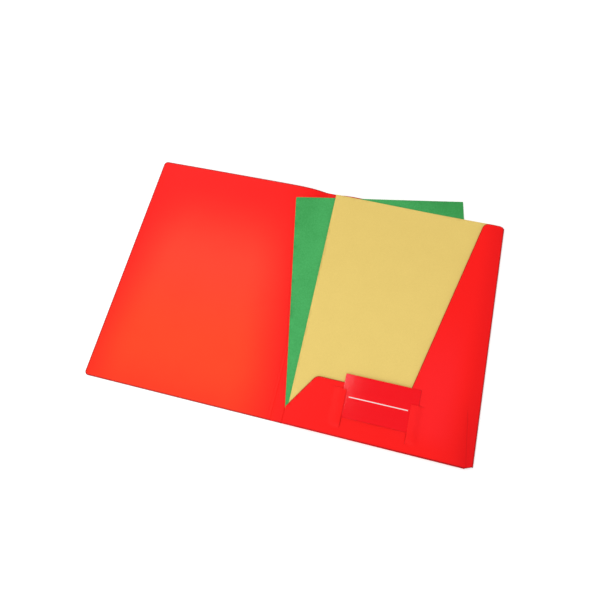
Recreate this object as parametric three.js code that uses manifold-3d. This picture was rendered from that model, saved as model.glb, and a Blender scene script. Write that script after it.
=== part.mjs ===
// A presentation folder for A4 paper, cut and creased from one piece of polypropylene sheet.
// It lies open on its back, in millimetres with +Z up, and holds two sheets and a business card.
// Below, x runs to the right from the crease beside the back cover, and y up from the lower edge.
// The finished group is moved so that its origin is the middle of the back cover's underside.
import * as THREE from "three";
import { mergeVertices } from "three/addons/utils/BufferGeometryUtils.js";
import Module from "manifold-3d";

const manifold = await Module();
manifold.setup();

// The paper that the folder is made for, A4
const PAPER_WIDTH = 210;
const PAPER_LENGTH = 297;
const PAPER_THICKNESS = 0.2;

// A stiff divider, wider than A4
const DIVIDER_WIDTH = 219;
const DIVIDER_LENGTH = 294;
const DIVIDER_THICKNESS = 0.3;

// A business card of 3.5 by 2 inches
const CARD_WIDTH = 89;
const CARD_HEIGHT = 51;
const CARD_THICKNESS = 0.3;

// The plastic sheet, the free space between two layers, and the line of a crease
const PLASTIC = 0.5;
const LAYER_GAP = 0.3;
const CREASE = 0.3;

// The covers and the spine
const BACK_MARGIN = 9; // how much wider the back cover is than the paper
const TOP_MARGIN = 11; // how much taller the folder is than the paper
const FRONT_OVERHANG = 15; // how far the closed front cover reaches past the back cover
const SPINE_WIDTH = 14;
const COVER_CORNER_RADIUS = 5;

// The corners of the back cover are cut away a little where the side is folded over
const RELIEF_LENGTH = 9;
const RELIEF_DEPTH = 3.5;

// The L-shaped front of the pocket: a low arm along the bottom and a tapering arm up the side
const POCKET_START = 0.6; // from the spine's crease
const FOOT_HEIGHT = 63.4;
const FOOT_END_HEIGHT = 20.5; // of its upright left end
const FOOT_SLANT_WIDTH = 26.4; // of the slanting cut above that end
const ARM_ROOT_WIDTH = 83.3; // where it leaves the foot
const ARM_TIP_WIDTH = 25.9;
const ARM_TOP_DROP = 1; // from the folder's top edge down to the arm's
const ARM_TOP_SLOPE = 7.5; // the last stretch of its top edge, which falls to the side fold
const FOOT_CORNER_RADIUS = 9;
const ARM_CORNER_RADIUS = 9;
const FRONT_LOWER_INSET = 0.5;

// The tab that is folded up from the back cover and welded under the pocket's front
const TAB_INSET = 2; // inside the foot's outline
const TAB_TOP_RIGHT = 15; // from the side fold to the tab's slanting end, at its top
const TAB_LOW_RIGHT = 4; // and near its bottom
const TAB_LOW_Y = 4.6;

// The two slits for the card, each with a cut outwards at its top, which frees a tongue
const SLIT_SPACING = 75.3;
const SLIT_CENTRE = 103; // from the spine's crease
const SLIT_BELOW_TOP = 7.4; // from the foot's top edge
const SLIT_LENGTH = 45;
const SLIT_WIDTH = 0.3;
const TONGUE_WIDTH = 16;
const TONGUE_RAMP = 4; // the bend at the tongue's outer side and lower end

// How the things that it holds lie
const PAPER_LEAN = 0.6; // degrees to the left
const PAPER_EDGE = 0.6; // least distance from the spine's crease
const PAPER_RAISE = 7; // above the bottom of the pocket
const DIVIDER_EDGE = 2.9; // its lower left corner, from the spine's crease
const DIVIDER_SIDE_CLEARANCE = 0.8; // its lower right corner, from the inside of the side fold
const DIVIDER_RAISE = 0.3; // its lower left corner, above the bottom of the pocket
const CARD_LEAN = 0.45; // degrees to the left
const CARD_SHIFT = 2.8; // its middle, to the right of the middle between the slits
const CARD_RAISE = 11.9; // above the lower end of the slits

const ARC_STEPS = 10;
const FOLD_STEPS = 12;

const HEIGHT = PAPER_LENGTH + TOP_MARGIN;
const BACK_WIDTH = PAPER_WIDTH + BACK_MARGIN;
const FRONT_WIDTH = BACK_WIDTH + FRONT_OVERHANG;

// The layers, from the table up
const DIVIDER_Z = PLASTIC + LAYER_GAP;
const PAPER_Z = DIVIDER_Z + DIVIDER_THICKNESS + LAYER_GAP;
const TAB_Z = PAPER_Z + PAPER_THICKNESS + LAYER_GAP;
const FRONT_Z = TAB_Z + PLASTIC + LAYER_GAP;
const CARD_Z = FRONT_Z + PLASTIC + LAYER_GAP;
const TONGUE_Z = CARD_Z + CARD_THICKNESS + LAYER_GAP;

// The two folds are half rounds, so their radii follow from the layers that they join
const BOTTOM_FOLD_RADIUS = (TAB_Z + PLASTIC) / 2;
const SIDE_FOLD_RADIUS = (FRONT_Z + PLASTIC) / 2;
const POCKET_BOTTOM = BOTTOM_FOLD_RADIUS + CREASE;
const POCKET_SIDE = BACK_WIDTH - SIDE_FOLD_RADIUS - CREASE;
const FOLD_END = BACK_WIDTH - RELIEF_LENGTH; // where the bottom fold stops

const folder = new THREE.Group();
const inFolder = new THREE.Group();
inFolder.position.set(-BACK_WIDTH / 2, -HEIGHT / 2, 0);
folder.add(inFolder);

const redPlastic = new THREE.MeshStandardMaterial({ color: 0xf52a22, roughness: 0.4, metalness: 0 });
const greenCard = new THREE.MeshStandardMaterial({ color: 0x43a862, roughness: 0.8, metalness: 0 });
const yellowPaper = new THREE.MeshStandardMaterial({ color: 0xe6ca6c, roughness: 0.8, metalness: 0 });
const redCard = new THREE.MeshStandardMaterial({ color: 0xe8242a, roughness: 0.3, metalness: 0 });

function place(name, geometry, material, parent = inFolder) {
  const mesh = new THREE.Mesh(geometry, material);
  mesh.name = name;
  parent.add(mesh);
}

// An outline through corners given as [x, y, radius], in order round it, with each radius as an arc.
function outline(corners) {
  const shape = new THREE.Shape();
  corners.forEach(([x, y, radius = 0], i) => {
    const corner = new THREE.Vector2(x, y);
    const before = new THREE.Vector2(...corners.at(i - 1).slice(0, 2)).sub(corner).normalize();
    const after = new THREE.Vector2(...corners[(i + 1) % corners.length].slice(0, 2)).sub(corner).normalize();
    const halfAngle = Math.acos(before.dot(after)) / 2;
    const toTangent = radius / Math.tan(halfAngle);
    const start = before.clone().multiplyScalar(toTangent).add(corner);
    if (i === 0) shape.moveTo(start.x, start.y);
    else shape.lineTo(start.x, start.y);
    if (radius === 0) return;
    const middle = before.clone().add(after).normalize();
    const centre = middle.multiplyScalar(radius / Math.sin(halfAngle)).add(corner);
    const end = after.multiplyScalar(toTangent).add(corner);
    const from = Math.atan2(start.y - centre.y, start.x - centre.x);
    const to = Math.atan2(end.y - centre.y, end.x - centre.x);
    const clockwise = before.cross(end.clone().sub(corner)) > 0;
    shape.absarc(centre.x, centre.y, radius, from, to, clockwise);
  });
  return shape;
}

// A flat panel of the given outline, with its underside at height z.
function panel(corners, thickness, z) {
  const settings = { depth: thickness, bevelEnabled: false, curveSegments: ARC_STEPS };
  return new THREE.ExtrudeGeometry(outline(corners), settings).translate(0, 0, z);
}

// The section of a half-round fold: the sheet turns from height 0 to height 2 * radius, and is open on the left.
function foldSection(radius) {
  const shape = new THREE.Shape();
  shape.absarc(0, radius, radius, -Math.PI / 2, Math.PI / 2, false);
  shape.absarc(0, radius, radius - PLASTIC, Math.PI / 2, -Math.PI / 2, true);
  return shape;
}

// A fold whose closed side faces along `outwards`, drawn out along `along`.
function foldStrip(radius, length, outwards, along) {
  const settings = { depth: length, bevelEnabled: false, curveSegments: FOLD_STEPS };
  const geometry = new THREE.ExtrudeGeometry(foldSection(radius), settings);
  const up = new THREE.Vector3(0, 0, 1);
  return geometry.applyMatrix4(new THREE.Matrix4().makeBasis(outwards, up, along));
}

function toSolid(geometry) {
  const bare = geometry.clone();
  bare.deleteAttribute("normal");
  bare.deleteAttribute("uv");
  const merged = mergeVertices(bare, 1e-4);
  const triVerts = new Uint32Array(merged.index.array);
  const vertProperties = new Float32Array(merged.attributes.position.array);
  return new manifold.Manifold(new manifold.Mesh({ numProp: 3, vertProperties, triVerts }));
}

function toGeometry(solid) {
  const mesh = solid.getMesh();
  const geometry = new THREE.BufferGeometry();
  geometry.setAttribute("position", new THREE.BufferAttribute(mesh.vertProperties, 3));
  geometry.setIndex(new THREE.BufferAttribute(mesh.triVerts, 1));
  geometry.computeVertexNormals();
  return geometry;
}

// A bent piece of sheet over the grid of xs and ys, whose underside is at height(x, y).
function bentSheet(xs, ys, height, thickness) {
  const position = [];
  const layer = xs.length * ys.length;
  for (const lift of [0, thickness])
    for (const y of ys) for (const x of xs) position.push(x, y, height(x, y) + lift);
  const index = [];
  const quad = (a, b, c, d) => index.push(a, b, c, a, c, d);
  const at = (i, j, top) => top * layer + j * xs.length + i;
  for (let j = 0; j + 1 < ys.length; j++)
    for (let i = 0; i + 1 < xs.length; i++) {
      quad(at(i, j, 1), at(i + 1, j, 1), at(i + 1, j + 1, 1), at(i, j + 1, 1));
      quad(at(i, j, 0), at(i, j + 1, 0), at(i + 1, j + 1, 0), at(i + 1, j, 0));
    }
  const right = xs.length - 1;
  const far = ys.length - 1;
  for (let i = 0; i < right; i++) {
    quad(at(i, 0, 0), at(i + 1, 0, 0), at(i + 1, 0, 1), at(i, 0, 1));
    quad(at(i + 1, far, 0), at(i, far, 0), at(i, far, 1), at(i + 1, far, 1));
  }
  for (let j = 0; j < far; j++) {
    quad(at(0, j + 1, 0), at(0, j, 0), at(0, j, 1), at(0, j + 1, 1));
    quad(at(right, j, 0), at(right, j + 1, 0), at(right, j + 1, 1), at(right, j, 1));
  }
  const geometry = new THREE.BufferGeometry();
  geometry.setAttribute("position", new THREE.Float32BufferAttribute(position, 3));
  geometry.setIndex(index);
  return geometry;
}

// Covers and spine

function frontCover() {
  const right = -SPINE_WIDTH - CREASE / 2;
  const left = -SPINE_WIDTH - FRONT_WIDTH;
  const corners = [
    [left, 0, COVER_CORNER_RADIUS],
    [right, 0],
    [right, HEIGHT],
    [left, HEIGHT, COVER_CORNER_RADIUS],
  ];
  return panel(corners, PLASTIC, 0);
}

function spineStrip() {
  const left = -SPINE_WIDTH + CREASE / 2;
  const right = -CREASE / 2;
  return panel([[left, 0], [right, 0], [right, HEIGHT], [left, HEIGHT]], PLASTIC, 0);
}

function backCover() {
  const corners = [
    [CREASE / 2, POCKET_BOTTOM],
    [FOLD_END, POCKET_BOTTOM],
    [POCKET_SIDE, RELIEF_DEPTH],
    [POCKET_SIDE, HEIGHT - RELIEF_DEPTH],
    [FOLD_END, HEIGHT],
    [CREASE / 2, HEIGHT],
  ];
  return panel(corners, PLASTIC, 0);
}

// The pocket

function bottomFold() {
  const length = FOLD_END - POCKET_START;
  const outwards = new THREE.Vector3(0, -1, 0);
  const strip = foldStrip(BOTTOM_FOLD_RADIUS, length, outwards, new THREE.Vector3(-1, 0, 0));
  return strip.translate(FOLD_END, BOTTOM_FOLD_RADIUS, 0);
}

function sideFold() {
  const high = HEIGHT - RELIEF_DEPTH;
  const outwards = new THREE.Vector3(1, 0, 0);
  const strip = foldStrip(SIDE_FOLD_RADIUS, high - RELIEF_DEPTH, outwards, new THREE.Vector3(0, -1, 0));
  return strip.translate(BACK_WIDTH - SIDE_FOLD_RADIUS, high, 0);
}

function bottomTab() {
  const left = POCKET_START + TAB_INSET;
  const top = FOOT_HEIGHT - TAB_INSET;
  const corners = [
    [left, POCKET_BOTTOM],
    [FOLD_END, POCKET_BOTTOM],
    [BACK_WIDTH - TAB_LOW_RIGHT, TAB_LOW_Y],
    [BACK_WIDTH - TAB_TOP_RIGHT, top],
    [POCKET_START + FOOT_SLANT_WIDTH + TAB_INSET / 2, top],
    [left, FOOT_END_HEIGHT - TAB_INSET / 2],
  ];
  return panel(corners, PLASTIC, TAB_Z);
}

// The place of one tongue: side is -1 left of the card and 1 right of it.
function tonguePlace(side) {
  const slit = SLIT_CENTRE + (side * SLIT_SPACING) / 2;
  const top = FOOT_HEIGHT - SLIT_BELOW_TOP;
  return { slit, outer: slit + side * TONGUE_WIDTH, top, bottom: top - SLIT_LENGTH };
}

// A tongue rises from its bends, at its outer side and lower end, to its free edges, at the slit and the top.
function cardTongue(side) {
  const { slit, outer, top, bottom } = tonguePlace(side);
  const root = outer - side * CREASE;
  const low = bottom + CREASE;
  const xs = [root, root - side * TONGUE_RAMP, slit + side * SLIT_WIDTH].sort((a, b) => a - b);
  const ys = [low, low + TONGUE_RAMP, top - SLIT_WIDTH];
  const lift = TONGUE_Z - FRONT_Z;
  const rise = (distance) => THREE.MathUtils.clamp(distance / TONGUE_RAMP, 0, 1);
  const height = (x, y) => FRONT_Z + lift * rise((root - x) * side) * rise(y - low);
  return bentSheet(xs, ys, height, PLASTIC);
}

// The hole that a tongue leaves in the pocket's front
function tongueHole(side) {
  const { slit, outer, top, bottom } = tonguePlace(side);
  const hole = new THREE.BoxGeometry(TONGUE_WIDTH, SLIT_LENGTH, 3 * PLASTIC);
  return hole.translate((slit + outer) / 2, (top + bottom) / 2, FRONT_Z + PLASTIC / 2);
}

function pocketFront() {
  const top = HEIGHT - ARM_TOP_DROP;
  const corners = [
    [POCKET_START, FRONT_LOWER_INSET],
    [FOLD_END, FRONT_LOWER_INSET],
    [POCKET_SIDE, RELIEF_DEPTH],
    [POCKET_SIDE, HEIGHT - RELIEF_DEPTH],
    [BACK_WIDTH - ARM_TOP_SLOPE, top],
    [BACK_WIDTH - ARM_TIP_WIDTH, top, ARM_CORNER_RADIUS],
    [BACK_WIDTH - ARM_ROOT_WIDTH, FOOT_HEIGHT],
    [POCKET_START + FOOT_SLANT_WIDTH, FOOT_HEIGHT, FOOT_CORNER_RADIUS],
    [POCKET_START, FOOT_END_HEIGHT],
  ];
  let solid = toSolid(panel(corners, PLASTIC, FRONT_Z));
  for (const side of [-1, 1]) solid = solid.subtract(toSolid(tongueHole(side)));
  return toGeometry(solid);
}

place("front_cover", frontCover(), redPlastic);
place("spine_strip", spineStrip(), redPlastic);
place("back_cover", backCover(), redPlastic);
place("bottom_fold", bottomFold(), redPlastic);
place("bottom_tab", bottomTab(), redPlastic);
place("side_fold", sideFold(), redPlastic);
place("pocket_front", pocketFront(), redPlastic);
place("card_tongue_left", cardTongue(-1), redPlastic);
place("card_tongue_right", cardTongue(1), redPlastic);

// What it holds. Each lies in a group at its lower left corner, turned by its lean.

function lay(name, width, height, thickness, material, corner, lean) {
  const group = new THREE.Group();
  group.position.set(...corner);
  group.rotation.z = lean;
  inFolder.add(group);
  const sheet = new THREE.BoxGeometry(width, height, thickness);
  place(name, sheet.translate(width / 2, height / 2, thickness / 2), material, group);
}

// The divider is wider than the pocket, so it leans until its lower corners fit between the crease and the fold.
const dividerRoom = BACK_WIDTH - PLASTIC - DIVIDER_SIDE_CLEARANCE - DIVIDER_EDGE;
const dividerLean = Math.acos(Math.min(1, dividerRoom / DIVIDER_WIDTH));
const dividerCorner = [DIVIDER_EDGE, POCKET_BOTTOM + DIVIDER_RAISE, DIVIDER_Z];
lay("divider_sheet", DIVIDER_WIDTH, DIVIDER_LENGTH, DIVIDER_THICKNESS, greenCard, dividerCorner, dividerLean);

const paperLean = THREE.MathUtils.degToRad(PAPER_LEAN);
const paperLeft = PAPER_EDGE + PAPER_LENGTH * Math.sin(paperLean);
const paperCorner = [paperLeft, POCKET_BOTTOM + PAPER_RAISE, PAPER_Z];
lay("paper_sheet", PAPER_WIDTH, PAPER_LENGTH, PAPER_THICKNESS, yellowPaper, paperCorner, paperLean);

const cardLean = THREE.MathUtils.degToRad(CARD_LEAN);
const cardLeft = SLIT_CENTRE + CARD_SHIFT - CARD_WIDTH / 2;
const cardBottom = FOOT_HEIGHT - SLIT_BELOW_TOP - SLIT_LENGTH + CARD_RAISE;
const cardCorner = [cardLeft, cardBottom, CARD_Z];
lay("business_card", CARD_WIDTH, CARD_HEIGHT, CARD_THICKNESS, redCard, cardCorner, cardLean);

export default folder;
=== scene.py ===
# %% [markdown]
# # An open presentation folder
# The folder is cut from one sheet of red polypropylene, half a millimetre thick. It lies open with its
# inside up: a plain front cover, a narrow spine between two creases, and a back cover whose two flaps are
# folded over as an L-shaped pocket. A green divider, a yellow sheet and a business card are tucked in.
#
# All of it is sheet, so one tool makes every piece. It takes an outline, fills it with points and lays
# them on a curved surface. A plane with a Solidify modifier is the usual way, but its thickness, its cut
# edge and the run of its points round folds and slits are then harder to steer.

# %% Tools, and the CAD frame
import math

import bpy
import numpy as np
from mathutils import Matrix, Vector
from mathutils.geometry import delaunay_2d_cdt


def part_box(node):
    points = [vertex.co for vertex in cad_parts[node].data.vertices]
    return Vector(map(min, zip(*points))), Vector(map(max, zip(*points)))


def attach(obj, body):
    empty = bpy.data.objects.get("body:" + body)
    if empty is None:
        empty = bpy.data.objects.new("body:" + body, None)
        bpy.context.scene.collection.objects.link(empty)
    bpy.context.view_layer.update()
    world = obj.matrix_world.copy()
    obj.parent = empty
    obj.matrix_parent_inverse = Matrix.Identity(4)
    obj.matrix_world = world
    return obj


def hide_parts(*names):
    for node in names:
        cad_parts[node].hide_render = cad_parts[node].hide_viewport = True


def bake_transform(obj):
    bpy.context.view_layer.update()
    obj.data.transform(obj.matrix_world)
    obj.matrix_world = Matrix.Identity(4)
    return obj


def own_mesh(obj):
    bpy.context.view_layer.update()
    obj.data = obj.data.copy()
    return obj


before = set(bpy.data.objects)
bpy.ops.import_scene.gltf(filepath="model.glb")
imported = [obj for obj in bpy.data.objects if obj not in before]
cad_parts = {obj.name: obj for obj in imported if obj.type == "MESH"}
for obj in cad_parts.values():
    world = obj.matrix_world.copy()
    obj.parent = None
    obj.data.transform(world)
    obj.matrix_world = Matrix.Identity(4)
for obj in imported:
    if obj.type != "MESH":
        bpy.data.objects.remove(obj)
bpy.context.view_layer.update()

# %% [markdown]
# ## The folder's own millimetres
# A folder is drawn from its creases and its lower edge, in millimetres. Here x runs to the right from the
# crease beside the back cover, y up from the lower edge and z up from the table. The places of the creases
# come from the packed nodes, so they can't drift away from the CAD model. Two places that are nearer than
# CLOSE count as the same.

# %% Folder millimetres
MM = 0.001
CLOSE = 0.001
spine_low, spine_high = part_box("spine_strip")
inner_crease = (spine_high.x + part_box("back_cover")[0].x) / 2
outer_crease = (spine_low.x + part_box("front_cover")[1].x) / 2
ORIGIN = np.array([inner_crease, spine_low.y, 0.0])


def to_folder(points):
    """Row metres to folder millimetres."""
    return (np.asarray(points, float) - ORIGIN) / MM


def to_row(points):
    """Folder millimetres to row metres."""
    return np.asarray(points, float) * MM + ORIGIN


def height_of(node):
    """The lowest and highest z of a CAD node, in millimetres."""
    low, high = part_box(node)
    return low.z / MM, high.z / MM


HEIGHT = (spine_high.y - spine_low.y) / MM
SPINE = (inner_crease - outer_crease) / MM
FRONT_WIDTH = (outer_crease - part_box("front_cover")[0].x) / MM
BACK_WIDTH = (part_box("side_fold")[1].x - inner_crease) / MM
PLASTIC = height_of("back_cover")[1]
print(f"height {HEIGHT:.1f}, front {FRONT_WIDTH:.1f}, spine {SPINE:.1f}, back {BACK_WIDTH:.1f} mm")

# %% [markdown]
# ## Outlines from the CAD
# Each flat CAD node already has the right outline, with its rounded corners. The edges of its upper faces
# are walked in their own direction, and an edge that two faces share cancels out. What is left is the outer
# outline, counterclockwise, and any holes, clockwise. Material is then always on the left.


# %% Outlines
def loops_of(node):
    """The closed outlines of a flat node's upper side, in folder millimetres, the longest first."""
    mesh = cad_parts[node].data
    points = to_folder([v.co for v in mesh.vertices])
    top = points[:, 2].max()
    keys = [tuple(float(c) for c in p) for p in points[:, :2].round(3)]
    following = set()
    for face in mesh.polygons:
        if min(points[i, 2] for i in face.vertices) < top - CLOSE:
            continue
        ring = [keys[i] for i in face.vertices]
        for a, b in zip(ring, ring[1:] + ring[:1]):
            if (b, a) in following:
                following.remove((b, a))
            elif a != b:
                following.add((a, b))
    after = dict(following)
    loops = []
    while after:
        start = min(after)
        loop, here = [], start
        while here in after:
            loop.append(here)
            here = after.pop(here)
        loops.append(np.array(loop))
    return sorted(loops, key=lambda loop: -np.ptp(loop, axis=0).sum())


for node in ("front_cover", "pocket_front", "bottom_tab", "divider_sheet"):
    print(node, "has outlines of", [len(loop) for loop in loops_of(node)], "points")

# %% [markdown]
# ## Cutting a sheet
# Real sheet has two faces and a thin, slightly rounded cut edge, which catches the light as a fine line.
# The outline is moved inwards ring by ring to make that edge. Inside the innermost ring, points on a grid
# are joined by a constrained triangulation, which respects any outline, slit or fold line.
#
# Moving an outline inwards is done point by point, along the mean of the two edges that meet there. That
# holds as long as no two points lie too near a corner, so the first helper keeps them apart.


# %% Dividing and moving outlines
def split_loop(loop, step, columns, rows, clear):
    """The outline with points at most `step` apart, and one wherever it crosses a column or a row.

    None is nearer than `clear` to a corner, so that the outline can be moved in without crossing itself.
    """
    points = []
    for a, b in zip(loop, np.roll(loop, -1, 0)):
        length = float(np.hypot(*(b - a)))
        shares = set(np.linspace(0, 1, max(1, math.ceil(length / step)) + 1)[:-1].round(6))
        for axis, lines in ((0, columns), (1, rows)):
            if abs(b[axis] - a[axis]) > 1e-6:
                shares |= {round(float((line - a[axis]) / (b[axis] - a[axis])), 6) for line in lines}
        kept = []
        for share in sorted(shares):
            free = min(share, 1 - share) * length > clear
            if share == 0 or (free and (share - kept[-1]) * length > 0.02):
                kept.append(share)
        points += [a + (b - a) * share for share in kept]
    return np.array(points)


def moved_in(loop, inset):
    """The outline moved to its left, into the material, by `inset` at each point."""
    along = np.roll(loop, -1, 0) - loop
    along /= np.linalg.norm(along, axis=1)[:, None]
    normal = np.stack([-along[:, 1], along[:, 0]], 1)
    before = np.roll(normal, 1, 0)
    return loop + (normal + before) * (inset / (1 + (normal * before).sum(1)))[:, None]


square = np.array([[0.0, 0.0], [10.0, 0.0], [10.0, 10.0], [0.0, 10.0]])
print("a square of 10 mm, moved in by 1 mm, starts at", moved_in(square, 1.0)[0])

# %% [markdown]
# ## Filling an outline with points
# The inside gets a regular grid. Extra columns and rows of points go where a sheet bends sharply, at creases
# and folds. Those lie close together, and long thin triangles would come of it, so the triangulation is
# shown a plan in which they are spread apart.


# %% Points inside an outline
def within(points, loops):
    """Which points lie inside the outlines, by counting the edges to their right."""
    crossings = np.zeros(len(points), int)
    for loop in loops:
        for a, b in zip(loop, np.roll(loop, -1, 0)):
            if a[1] == b[1]:
                continue
            spans = (points[:, 1] >= min(a[1], b[1])) & (points[:, 1] < max(a[1], b[1]))
            at = a[0] + (points[:, 1] - a[1]) * (b[0] - a[0]) / (b[1] - a[1])
            crossings += spans & (at > points[:, 0])
    return crossings % 2 == 1


def grid_points(loops, step, columns, rows, margin):
    """Points on a regular grid and on the extra columns and rows, inside the outlines by `margin`."""
    every = np.concatenate(loops)
    low, high = every.min(0), every.max(0)
    xs = np.arange(low[0] + step / 2, high[0], step)
    ys = np.arange(low[1] + step / 2, high[1], step)
    xs = xs[[all(abs(x - c) > step / 3 for c in columns) for x in xs]]
    ys = ys[[all(abs(y - r) > step / 3 for r in rows) for y in ys]]
    across, up = np.meshgrid(np.concatenate([xs, columns]), np.concatenate([ys, rows]))
    points = np.stack([across.ravel(), up.ravel()], 1)
    points = points[within(points, loops)]
    near = np.min([np.hypot(*(points - p).T) for p in every], axis=0)
    return points[near > margin]


def spread(values, lines, step):
    """Values moved apart where lines lie close together, so that a triangulation sees even cells."""
    lines = np.unique(lines)
    if len(lines) < 2:
        return values
    gaps = np.diff(lines)
    places = lines[0] + np.concatenate([[0], np.cumsum(np.where(gaps < step / 2, step, gaps))])
    far = 1000.0
    before = np.concatenate([[lines[0] - far], lines, [lines[-1] + far]])
    return np.interp(values, before, np.concatenate([[places[0] - far], places, [places[-1] + far]]))


print("points of a 2 mm grid in that square:", len(grid_points([square], 2.0, [], [], 0.35)))

# %% [markdown]
# ## The sheet cutter
# Eight rings of points go round each outline, from the upper face over the edge to the lower face, and the
# grid fills both faces inside them. Where a sheet runs on into another one, its edge is a seam: it stays
# square, and it doesn't count as cut.
#
# Two things are stored on each point for the materials: its place on the flat, unfolded sheet, so that the
# grain runs on round a fold and stays put when the folder closes, and how near it is to a cut edge, where
# the materials paint shade.

# %% The sheet cutter
CUT_ROUNDING, SEAM_ROUNDING = 0.12, 0.01
RIM_WIDTH, SEAM_WIDTH = 0.9, 0.3
QUARTER_ROUND = 0.29
GRID_MARGIN = 0.35


def cut_sheet(
    name, loops, place, thickness, step, columns=(), rows=(), seam=None, marks=None, rim_width=RIM_WIDTH
):
    """A sheet of the given outlines. place(x, y, t) puts flat points on the real surface, in folder mm.

    seam(x, y) says where the edge isn't cut, and marks(x, y) how strongly the painted shade of a cut edge
    shows, which is 1 where it is left out.
    """
    columns, rows = np.asarray(columns, float), np.asarray(rows, float)
    loops = [split_loop(np.asarray(loop, float), step, columns, rows, 1.2 * rim_width) for loop in loops]
    flat, rim, starts = [], [], []
    for loop in loops:
        plain = np.zeros(len(loop), bool) if seam is None else seam(*loop.T)
        radius = np.where(plain, SEAM_ROUNDING, min(CUT_ROUNDING, thickness / 3))
        mark = np.where(plain, 0.0, 1.0 if marks is None else marks(*loop.T))
        support = np.maximum(np.where(plain, SEAM_WIDTH, rim_width), radius * 1.5)
        soft = QUARTER_ROUND * radius
        rings = [
            (support, thickness, 0 * mark),
            (radius, thickness, mark),
            (soft, thickness - soft, mark),
            (0 * radius, thickness - radius, mark),
            (0 * radius, radius, mark),
            (soft, soft, mark),
            (radius, 0, mark),
            (support, 0, 0 * mark),
        ]
        starts.append((sum(len(part) for part in flat), len(loop)))
        for inset, t, marked in rings:
            ring = moved_in(loop, inset)
            flat.append(np.column_stack([ring, np.broadcast_to(t, len(loop))]))
            rim.append(marked)
    inner = [flat[8 * i][:, :2] for i in range(len(loops))]
    inside = grid_points(inner, step, columns, rows, GRID_MARGIN)
    first = sum(len(part) for part in flat)
    flat += [np.column_stack([inside, np.full(len(inside), t)]) for t in (thickness, 0.0)]
    rim.append(np.zeros(2 * len(inside)))
    flat, rim = np.concatenate(flat), np.concatenate(rim)

    # For each point of the triangulation, its vertex on the upper and on the lower face
    upper, lower, borders = [], [], []
    for start, count in starts:
        borders += [(len(upper) + i, len(upper) + (i + 1) % count) for i in range(count)]
        upper += range(start, start + count)
        lower += range(start + 7 * count, start + 8 * count)
    upper += range(first, first + len(inside))
    lower += range(first + len(inside), first + 2 * len(inside))
    plan = np.concatenate(inner + [inside])
    even = np.column_stack([spread(plan[:, 0], columns, step), spread(plan[:, 1], rows, step)])
    found = delaunay_2d_cdt([Vector(p) for p in even], borders, [], 0, 1e-5)
    source = [sources[0] for sources in found[3]]
    triangles = np.array([[source[i] for i in face] for face in found[2]])
    corners = plan[triangles]
    triangles = triangles[within(corners.mean(1), inner)]
    side_a, side_b = (plan[triangles[:, i]] - plan[triangles[:, 0]] for i in (1, 2))
    turned = side_a[:, 0] * side_b[:, 1] - side_a[:, 1] * side_b[:, 0] < 0
    triangles[turned] = triangles[turned][:, ::-1]

    faces = [tuple(upper[i] for i in t) for t in triangles]
    faces += [tuple(lower[i] for i in reversed(t)) for t in triangles]
    for start, count in starts:
        for ring in range(7):
            for i in range(count):
                here, there = start + ring * count + i, start + ring * count + (i + 1) % count
                faces.append((here + count, there + count, there, here))

    mesh = bpy.data.meshes.new(name)
    mesh.from_pydata(to_row(np.column_stack(place(*flat.T))).tolist(), [], faces)
    mesh.polygons.foreach_set("use_smooth", [True] * len(mesh.polygons))
    mesh.attributes.new("flat", "FLOAT_VECTOR", "POINT").data.foreach_set("vector", (flat * MM).ravel())
    mesh.attributes.new("rim", "FLOAT", "POINT").data.foreach_set("value", rim)
    piece = bpy.data.objects.new(name, mesh)
    bpy.context.scene.collection.objects.link(piece)
    print(f"{name}: {len(mesh.vertices)} points, {len(mesh.polygons)} faces")
    return piece


# %% [markdown]
# ## How the open folder lies
# Creased plastic wants to close again. Beside the spine the open covers rise a few millimetres, most at
# the top edge and not at all at the bottom, and fall back to the table further out. The loose sheets are
# too stiff to dip into the valley at the spine, so they bridge it.
#
# This could be simulated, but it is a smooth rise in one direction, so a formula is exact and quick.

# %% The covers' swell
FRONT_SWELL, FRONT_RISE, FRONT_FALL = 5.4, 19.0, 0.9
BACK_SWELL, BACK_RISE, BACK_FALL, BACK_REACH = 3.0, 12.0, 1.5, 190.0
HUMP_SCALE = 1.25
LEFT_DROOP = 0.00022


def up_the_cover(y):
    """0 at the lower edge, 1 at the top edge."""
    return np.clip(y / HEIGHT, 0, None) ** 1.5


def hump(distance, rise, reach, fall):
    """Quickly up from the crease, and slowly down again."""
    distance = np.clip(distance, 0, reach)
    return HUMP_SCALE * (1 - np.exp(-((distance / rise) ** 1.4))) * (1 - distance / reach) ** fall


def cover_lift(x, y):
    """How far a cover stands off the table."""
    front = FRONT_SWELL * hump(-SPINE - x, FRONT_RISE, FRONT_WIDTH, FRONT_FALL)
    back = BACK_SWELL * hump(x, BACK_RISE, BACK_REACH, BACK_FALL)
    return up_the_cover(y) * (front + back)


def sheet_lift(x, y):
    """The same for the loose sheets, which bridge the valley at the spine."""
    crown = HUMP_SCALE * BACK_SWELL
    right = crown * np.clip(1 - x / BACK_REACH, 0, 1) ** BACK_FALL
    slope = BACK_FALL * crown / BACK_REACH
    left = crown - slope * x - LEFT_DROOP * x**2
    return up_the_cover(y) * np.where(x > 0, right, left)


print("cover lift at the top edge, 50 mm either side:", cover_lift(np.array([-64.0, 50.0]), HEIGHT).round(2))

# %% [markdown]
# ## The covers and the spine
# On the real folder the two covers and the spine are one sheet with two pressed creases. Each crease is a
# shallow groove with a low ridge on either side, and a lighter score runs beside the outer one.
#
# A piece can bend across one joint only, so the sheet is made as two pieces that meet inside the spine.
# Each carries one crease. The join is square and flush, and two millimetres from the outer crease.

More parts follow.
